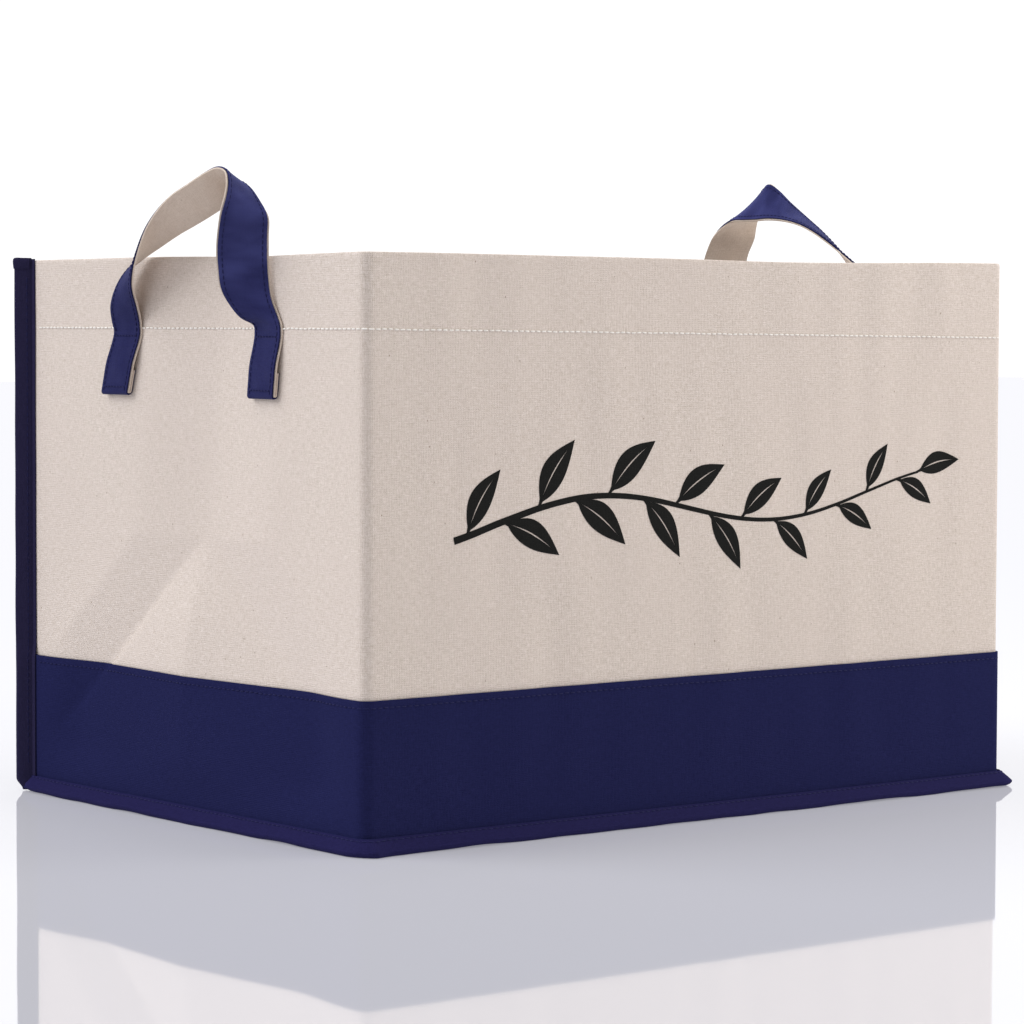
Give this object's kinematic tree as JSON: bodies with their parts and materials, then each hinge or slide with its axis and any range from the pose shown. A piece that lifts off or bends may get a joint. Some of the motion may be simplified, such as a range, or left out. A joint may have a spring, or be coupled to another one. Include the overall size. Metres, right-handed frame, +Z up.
{
  "type": "fabric storage bin",
  "caption": "Open rectangular canvas storage bin with a dark band round its foot, a strap handle on each end and a loose stiff base board.",
  "frame": {"origin": "middle of the footprint on the ground", "axes": "+X along the front to the right, +Y from the front to the back, +Z up; the printed front faces -Y and the handles are on the -X and +X ends"},
  "size_m": [0.4781, 0.3194, 0.336],
  "materials": {
    "natural_canvas": "plain woven natural cotton and linen canvas with small dark flecks, matte",
    "navy_canvas": "plain woven navy canvas, matte",
    "navy_tape": "narrow navy cotton binding tape, matte",
    "navy_strap": "navy cotton twill strap, matte with a soft sheen",
    "cream_thread": "cotton sewing thread",
    "navy_thread": "navy cotton sewing thread",
    "print_ink": "matte black screen print ink soaked into the canvas",
    "fibreboard": "bare hardboard"
  },
  "bodies": {
    "bin": {"canvas_wrap": "natural_canvas", "canvas_back": "natural_canvas", "band_wrap": "navy_canvas", "band_back": "navy_canvas", "base_panel": "navy_canvas", "base_binding": "navy_tape", "corner_binding_left": "navy_tape", "corner_binding_right": "navy_tape", "hem_thread_wrap": "cream_thread", "hem_thread_back": "cream_thread", "band_thread_wrap": "navy_thread", "band_thread_back": "navy_thread", "base_thread": "navy_thread", "corner_thread_left": "navy_thread", "corner_thread_right": "navy_thread", "left_front_strap_end": "navy_strap", "left_back_strap_end": "navy_strap", "right_front_strap_end": "navy_strap", "right_back_strap_end": "navy_strap", "left_front_lining_end": "natural_canvas", "left_back_lining_end": "natural_canvas", "right_front_lining_end": "natural_canvas", "right_back_lining_end": "natural_canvas", "left_front_end_thread": "navy_thread", "left_back_end_thread": "navy_thread", "right_front_end_thread": "navy_thread", "right_back_end_thread": "navy_thread", "front_print": "print_ink"},
    "left_handle": {"left_handle_strap": "navy_strap", "left_handle_lining": "natural_canvas"},
    "right_handle": {"right_handle_strap": "navy_strap", "right_handle_lining": "natural_canvas"},
    "base_board": {"base_board": "fibreboard", "base_board_cover": "natural_canvas"}
  },
  "joints": [
    {"name": "left_handle_bend", "type": "hinge", "parent": "bin", "child": "left_handle", "pos_m": [-0.218, 0, 0.248], "axis": [0, -1, 0], "range_deg": [0, 120], "stiffness_Nm_per_rad": 0.02},
    {"name": "right_handle_bend", "type": "hinge", "parent": "bin", "child": "right_handle", "pos_m": [0.218, 0, 0.248], "axis": [0, 1, 0], "range_deg": [0, 120], "stiffness_Nm_per_rad": 0.02},
    {"name": "base_board_lift", "type": "slide", "parent": "bin", "child": "base_board", "axis": [0, 0, 1], "range_m": [0, 0.345]}
  ]
}
